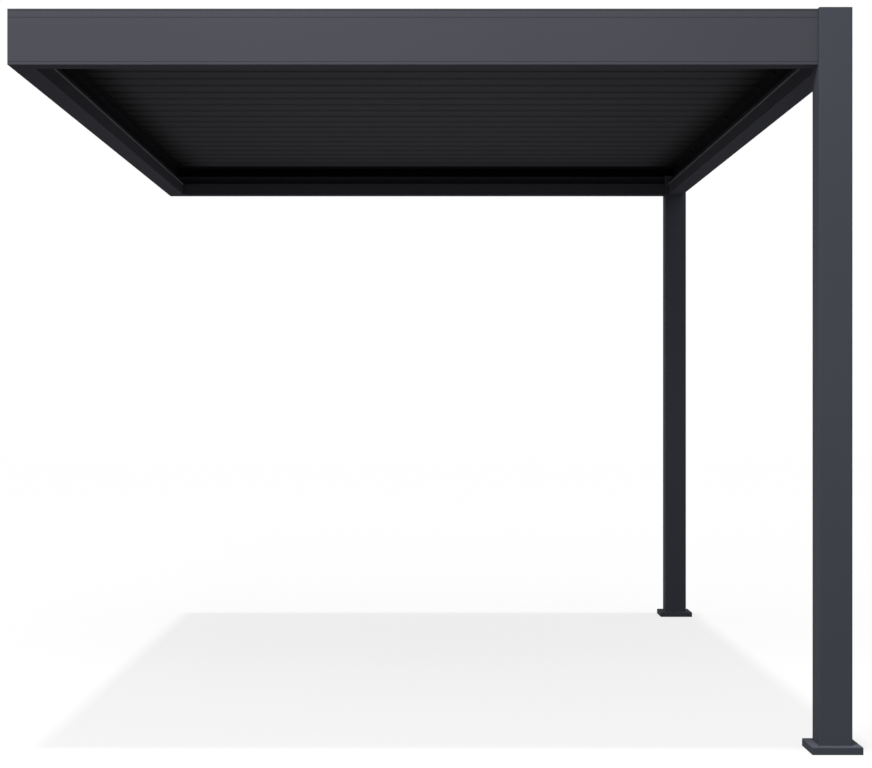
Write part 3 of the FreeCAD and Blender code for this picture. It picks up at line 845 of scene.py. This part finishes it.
@dataclass
class PivotRails(Assembly):
    """Rails that carry the louvre pins, with a nylon bush at each and screws along the foot."""

    pin_radius: float = 8.3 * MM
    flange_radius: float = 14.5 * MM
    flange_thickness: float = 2.5 * MM
    hub_radius: float = 11.5 * MM
    hub_length: float = 8 * MM
    screw_spacing: float = 0.400
    screw_radius: float = 4.6 * MM
    screw_height: float = 2.4 * MM
    screw_rim: float = 0.4
    screw_flat: float = 0.6
    foot_middle: float = 5 * MM
    foot_thickness: float = 3 * MM

    def build(self) -> None:
        """Finish both rails and fit their bushes and screws."""
        for side, inward in (("wall", 1), ("outer", -1)):
            node = f"pivot_rail_{side}"
            # The rails' near-black also stands in for the shade in the gutter.
            self.coated(node, RAIL_BLACK_AND_PAINTED_SHADE, "rail_black", width=0.3 * MM)
            bushes, screws = self.bushes(node, inward), self.screws(node, inward)
            self.keep(add_piece(bushes, f"bushes_{side}", BUSH_NYLON, "frame"))
            self.keep(add_piece(screws, f"rail_screws_{side}", ZINC_PLATE, "frame"))

    def bushes(self, node: str, inward: int) -> bmesh.types.BMesh:
        """Flanged bush round every pin, against the rail's inner side.

        Args:
            node: Name of the rail.
            inward: 1 where the louvres lie towards +X of the rail, -1 where they lie towards -X.

        Returns:
            All the bushes in one mesh.
        """
        low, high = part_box(node)
        face = high.x if inward > 0 else low.x
        outline = [(radius, inward * height) for radius, height in (
            (self.pin_radius, 0), (self.flange_radius, 0),
            (self.flange_radius, self.flange_thickness), (self.hub_radius, self.flange_thickness),
            (self.hub_radius, self.hub_length), (self.pin_radius, self.hub_length))]
        parts = []
        for body, pivot in self.pivots().items():
            if body.startswith("louvre"):
                parts.append(turned(outline, Vector((face, pivot.y, pivot.z)), Axis.X, steps=28))
        return joined(parts)

    def screws(self, node: str, inward: int) -> bmesh.types.BMesh:
        """Pan heads along the rail's foot.

        Args:
            node: Name of the rail.
            inward: 1 where the louvres lie towards +X of the rail, -1 where they lie towards -X.

        Returns:
            All the heads in one mesh.
        """
        low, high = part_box(node)
        foot = low.x if inward > 0 else high.x
        across = foot + inward * self.foot_middle
        level = low.z + self.foot_thickness
        head = [(0, 0), (self.screw_radius, 0),
                (self.screw_radius, self.screw_rim * self.screw_height),
                (self.screw_flat * self.screw_radius, self.screw_height), (0, self.screw_height)]
        count = int((high.y - low.y) / self.screw_spacing)
        places = [(place - (count - 1) / 2) * self.screw_spacing for place in range(count)]
        return joined(turned(head, Vector((across, along, level)), Axis.Z, steps=16)
                      for along in places)


@dataclass
class LouvreRoof(Assembly):
    """Louvre blades with their moulded end caps and lip seals, and the strips that close the roof."""

    start: float = 58 * MM
    seam_offset: float = 79.5 * MM
    web_inset: float = 45 * MM
    cap_reach: float = 33 * MM
    cap_skin: float = 0.52 * MM
    end_margin: float = 0.05 * MM
    side_lean: float = 0.5
    seal_thickness: float = 1.6 * MM
    seal_drop: float = 8 * MM
    seal_edge: float = 86 * MM
    seal_level: float = 5.2 * MM
    seal_rounding: float = 0.45
    strip_top: float = 0.6 * MM
    pin_clear: float = 12 * MM
    shade_sheet_thickness: float = 1 * MM
    shade_sheet_gap: float = 0.2 * MM

    def build(self) -> None:
        """Dress the louvres one by one, then the strips and the black sheets of painted shade before
        their webs.
        """
        coat = self.coat()
        for body, pivot in self.pivots().items():
            if body.startswith("louvre"):
                self.coated(body, coat, "louvre_coat", width=0.3 * MM, body=body,
                            accent=(ZINC_PLATE, self.past_blade))
                # The caps' near-black also stands in for the shade at the blades' ends.
                caps = self.end_caps(body, pivot)
                self.keep(add_piece(caps, f"{body}_end_caps", END_CAP_BLACK_AND_PAINTED_SHADE, body))
                self.keep(add_piece(self.seal(pivot), f"{body}_seal", SEAL_RUBBER, body))
        for side, inward in (("front", 1), ("back", -1)):
            # Below its top each closing strip gets the near-black as painted shade.
            self.coated(f"closing_strip_{side}", COAT[Run.X], "strip_coat", width=0.4 * MM,
                        accent=(RAIL_BLACK_AND_PAINTED_SHADE, self.painted_shade_below_top(side)))
            # Black sheet of painted shade where the recess before the strip's web lies in shade.
            shade_sheet = self.painted_shade_sheet(inward)
            self.keep(add_piece(shade_sheet, f"painted_shade_sheet_{side}", END_CAP_BLACK_AND_PAINTED_SHADE, "frame"))

    def coat(self) -> LouvreCoat:
        """Make the louvres' coat, with its painted shade fitted to the blades' ends and seams.

        Returns:
            The coat.
        """
        pivots = self.pivots()
        first = pivots["louvre_01"].y
        return LouvreCoat("anthracite_louvre_coat", start=self.start, end=self.last(),
                          pitch=pivots["louvre_02"].y - first, first_seam=first + self.seam_offset)

    def painted_shade_below_top(self, side: str) -> Callable[[Vector], bool]:
        """Test for a closing strip's faces below its top, which get painted shade, by a face's
        middle.
        """
        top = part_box(f"closing_strip_{side}")[1].z - self.strip_top
        return lambda middle: middle.z < top

    def past_blade(self, middle: Vector) -> bool:
        """Whether a face belongs to a pin or crank."""
        return not self.start - MM < middle.x < self.last() + MM

    def painted_shade_sheet(self, inward: int) -> bmesh.types.BMesh:
        """Black sheet of painted shade before a strip's web, from rail to rail and over the post's
        open corner.

        Args:
            inward: 1 at the front strip, -1 at the back strip.

        Returns:
            The closed mesh.
        """
        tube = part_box("beam_front" if inward > 0 else "beam_back")
        web = (tube[0].y if inward > 0 else tube[1].y) + inward * self.web_inset
        near = web + inward * self.shade_sheet_gap
        far = near + inward * self.shade_sheet_thickness
        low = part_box("pivot_rail_wall")[0].z + self.shade_sheet_gap
        high = self.underside() - self.shade_sheet_gap
        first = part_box("pivot_rail_wall")[1].x + self.shade_sheet_gap
        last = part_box("pivot_rail_outer")[0].x - self.shade_sheet_gap
        return slab(Vector((first, min(near, far), low)), Vector((last, max(near, far), high)))

    def underside(self) -> float:
        """Height of the closed louvres' underside."""
        return min(vert.co.z for vert in self.frame["nodes"]["louvre_01"].data.vertices
                   if self.start < vert.co.x < self.last())

    def last(self) -> float:
        """Far end of the blades along X."""
        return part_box("beam_outer")[1].x - self.start

    def end_caps(self, body: str, pivot: Vector) -> bmesh.types.BMesh:
        """Plastic cap over each end of a blade, a skin thicker than the profile all round.

        Args:
            body: Name of the louvre.
            pivot: Point on its axis.

        Returns:
            Both caps in one mesh.
        """
        blade = merged_copy(self.frame["nodes"][body])
        blade.verts.index_update()
        caps = []
        for end, reach in ((self.start, self.cap_reach), (self.last(), -self.cap_reach)):
            cap = self.end_outline(blade, pivot, end)
            bmesh.ops.contextual_create(cap, geom=cap.edges)
            grown = bmesh.ops.extrude_face_region(cap, geom=cap.faces[:])["geom"]
            moved = [part for part in grown if isinstance(part, bmesh.types.BMVert)]
            bmesh.ops.translate(cap, verts=moved, vec=(reach, 0, 0))
            bmesh.ops.recalc_face_normals(cap, faces=cap.faces)
            cap.normal_update()
            for vert in cap.verts:
                vert.co += vert.normal * self.cap_skin
            caps.append(cap)
        blade.free()
        return joined(caps)

    def end_outline(self, blade: bmesh.types.BMesh, pivot: Vector,
                    end: float) -> bmesh.types.BMesh:
        """Copy the outline of a blade's end, without the pin in its middle.

        Args:
            blade: The blade's closed mesh, with its vertices numbered.
            pivot: Point on the blade's axis.
            end: Place of the end along X.

        Returns:
            Mesh of the outline's edges.
        """
        outline = bmesh.new()
        copies: dict[int, bmesh.types.BMVert] = {}
        for edge in blade.edges:
            at_end = all(abs(vert.co.x - end) < self.end_margin for vert in edge.verts)
            off_pin = all((vert.co - pivot).yz.length > self.pin_clear for vert in edge.verts)
            rim = any(abs(face.normal.x) < self.side_lean for face in edge.link_faces)
            if at_end and off_pin and rim:
                for vert in edge.verts:
                    if vert.index not in copies:
                        copies[vert.index] = outline.verts.new(vert.co)
                outline.edges.new([copies[vert.index] for vert in edge.verts])
        return outline

    def seal(self, pivot: Vector) -> bmesh.types.BMesh:
        """Rubber flap that hangs from the lip into the next louvre's channel, from cap to cap.

        Args:
            pivot: Point on the louvre's axis.

        Returns:
            The closed mesh.
        """
        first = self.start + self.cap_reach
        length = self.last() - self.cap_reach - first
        top = Vector((first, self.seal_edge + pivot.y, self.seal_level + pivot.z))
        flap = slab(top - Vector((0, self.seal_thickness, self.seal_drop)),
                    top + Vector((length, 0, 0)))
        foot = top.z - self.seal_drop + WELD_DISTANCE
        lower = [edge for edge in flap.edges if all(vert.co.z < foot for vert in edge.verts)
                 and abs(edge.verts[0].co.y - edge.verts[1].co.y) < WELD_DISTANCE]
        bmesh.ops.bevel(flap, geom=lower, offset=self.seal_rounding * self.seal_thickness,
                        segments=3, profile=0.5, affect="EDGES", material=-1)
        return flap


@dataclass
class Linkage(Assembly):
    """Bar that joins the cranks, and the washers that keep it on their pins."""

    hole_radius: float = 4.15 * MM
    washer_radius: float = 8 * MM
    washer_thickness: float = 1.2 * MM
    washer_rim: float = 0.5
    washer_flat: float = 0.8

    def build(self) -> None:
        """Finish the bar and press a washer on at every crank pin."""
        self.coated("link_bar", MILL_ALUMINIUM, "link_metal", width=0.4 * MM, body="link_bar")
        pivots = self.pivots()
        step = pivots["link_bar"] - pivots["louvre_01"]
        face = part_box("link_bar")[1].x
        outline = [(self.hole_radius, 0), (self.washer_radius, 0),
                   (self.washer_radius, self.washer_rim * self.washer_thickness),
                   (self.washer_flat * self.washer_radius, self.washer_thickness),
                   (self.hole_radius, self.washer_thickness)]
        parts = []
        for body, pivot in pivots.items():
            if body.startswith("louvre"):
                centre = Vector((face, pivot.y + step.y, pivot.z + step.z))
                parts.append(turned(outline, centre, Axis.X, steps=20))
        self.keep(add_piece(joined(parts), "crank_washers", ZINC_PLATE, "link_bar"))


@dataclass
class Studio:
    """Plain pale floor, white surroundings, an overhead lamp and the camera."""

    ground: float
    camera_place: Vector = field(default_factory=lambda: Vector((1.397, -8.124, -1.221)))
    lens: float = 75.5
    sensor: float = 36.0
    shift: tuple[float, float] = (0.0145, 0.0186)
    floor_size: float = 60.0
    sky: float = 0.70
    overhead: float = 2.2
    overhead_spread: float = 2.6
    overhead_lean: tuple[float, float] = (1.8, -1.8)
    key_place: Vector = field(default_factory=lambda: Vector((0.5, -5.2, 2.6)))
    key_target: Vector = field(default_factory=lambda: Vector((1.2, -2.0, 0.0)))
    key_size: float = 1.6
    key_power: float = 185.0
    fill_place: tuple[float, float] = (1.4, 0.0)
    fill_height: float = 0.05
    fill_size: tuple[float, float] = (0.8, 3.2)
    fill_power: float = 11.0
    floor_glow: float = 0.77
    floor_share: float = 0.16
    floor_bounce: float = 0.08

    def build(self) -> None:
        """Set up everything that isn't part of the pergola."""
        self.place_camera()
        self.light_sky()
        self.hang_lamp()
        self.set_key()
        self.set_fill()
        self.lay_floor()
        bpy.context.scene.view_settings.view_transform = "Standard"

    def place_camera(self) -> None:
        """Level camera that looks along the wall."""
        data = bpy.data.cameras.new("camera")
        data.lens, data.sensor_width = self.lens, self.sensor
        data.shift_x, data.shift_y = self.shift
        data.clip_end = 2 * self.floor_size
        camera = bpy.data.objects.new("camera", data)
        camera.location = self.camera_place
        camera.rotation_euler = (math.radians(90), 0, 0)
        bpy.context.scene.collection.objects.link(camera)
        bpy.context.scene.camera = camera

    def light_sky(self) -> None:
        """Even white surroundings."""
        world = bpy.data.worlds.new("white_surroundings")
        bench = Bench(world)
        white = bench.node("ShaderNodeBackground", {}, {"Color": (1, 1, 1, 1), "Strength": 1.0})
        light = bench.node("ShaderNodeBackground", {},
                           {"Color": (1, 1, 1, 1), "Strength": self.sky})
        both = bench.node("ShaderNodeMixShader", {}, {0: bench.seen(), 1: light, 2: white})
        bench.show(both, "ShaderNodeOutputWorld")
        bpy.context.scene.world = world

    def hang_lamp(self) -> None:
        """Soft lamp straight above, which draws the roof's shadow on the floor."""
        data = bpy.data.lights.new("overhead", "SUN")
        data.energy = self.overhead
        data.angle = math.radians(self.overhead_spread)
        lamp = bpy.data.objects.new("overhead", data)
        lamp.rotation_euler = [-math.radians(angle) for angle in reversed(self.overhead_lean)] + [0]
        bpy.context.scene.collection.objects.link(lamp)

    def set_key(self) -> None:
        """Soft lamp above and before the front beam, so that the posts darken towards the ground."""
        data = bpy.data.lights.new("key", "AREA")
        data.energy = self.key_power
        data.size = self.key_size
        lamp = bpy.data.objects.new("key", data)
        lamp.location = self.key_place
        aim = self.key_target - self.key_place
        lamp.rotation_euler = aim.to_track_quat("-Z", "Y").to_euler()
        bpy.context.scene.collection.objects.link(lamp)

    def set_fill(self) -> None:
        """Weak lamp on the ground, turned up, for the light that the ground throws back."""
        data = bpy.data.lights.new("fill", "AREA")
        data.energy = self.fill_power
        data.shape = "RECTANGLE"
        data.size, data.size_y = self.fill_size
        lamp = bpy.data.objects.new("fill", data)
        lamp.location = (*self.fill_place, self.ground + self.fill_height)
        lamp.rotation_euler = (math.radians(180), 0, 0)
        lamp.visible_camera = False
        bpy.context.scene.collection.objects.link(lamp)

    def lay_floor(self) -> None:
        """Floor that looks white with a faint shadow, and throws little light back up."""
        floor = bmesh.new()
        bmesh.ops.create_grid(floor, x_segments=1, y_segments=1, size=self.floor_size / 2)
        bmesh.ops.translate(floor, verts=floor.verts, vec=(0, 0, self.ground))
        mesh = bpy.data.meshes.new("floor")
        floor.to_mesh(mesh)
        floor.free()
        material = bpy.data.materials.new("studio_floor")
        bench = Bench(material)
        glow = bench.node("ShaderNodeEmission", {},
                          {"Color": (1, 1, 1, 1), "Strength": self.floor_glow})
        share = (self.floor_share,) * 3
        shaded = bench.node("ShaderNodeBsdfDiffuse", {}, {"Color": (*share, 1)})
        white = bench.node("ShaderNodeAddShader", {}, {0: glow, 1: shaded})
        bounce = (self.floor_bounce,) * 3
        dim = bench.node("ShaderNodeBsdfDiffuse", {}, {"Color": (*bounce, 1)})
        bench.show(bench.node("ShaderNodeMixShader", {}, {0: bench.seen(), 1: dim, 2: white}))
        material.cycles.emission_sampling = "NONE"
        mesh.materials.append(material)
        sheet = bpy.data.objects.new("studio_floor", mesh)
        bpy.context.scene.collection.objects.link(sheet)
        sheet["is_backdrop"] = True


def clear_scene() -> None:
    """Remove the objects of the start-up scene."""
    for thing in list(bpy.data.objects):
        bpy.data.objects.remove(thing)


def main() -> None:
    """Load the frame, dress it and set up the studio."""
    logging.basicConfig(level=logging.INFO, format="%(name)s: %(message)s")
    clear_scene()
    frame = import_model()
    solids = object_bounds()
    Studio(ground=solids[0].z).build()
    for kind in (RingBeam, WallFixings, Posts, PivotRails, LouvreRoof, Linkage):
        assembly = kind(frame)
        assembly.build()
        for piece in assembly.pieces:
            LOG.info("%s: %s, %d faces", kind.__name__, piece.name, len(piece.data.polygons))


if __name__ == "__main__":
    main()
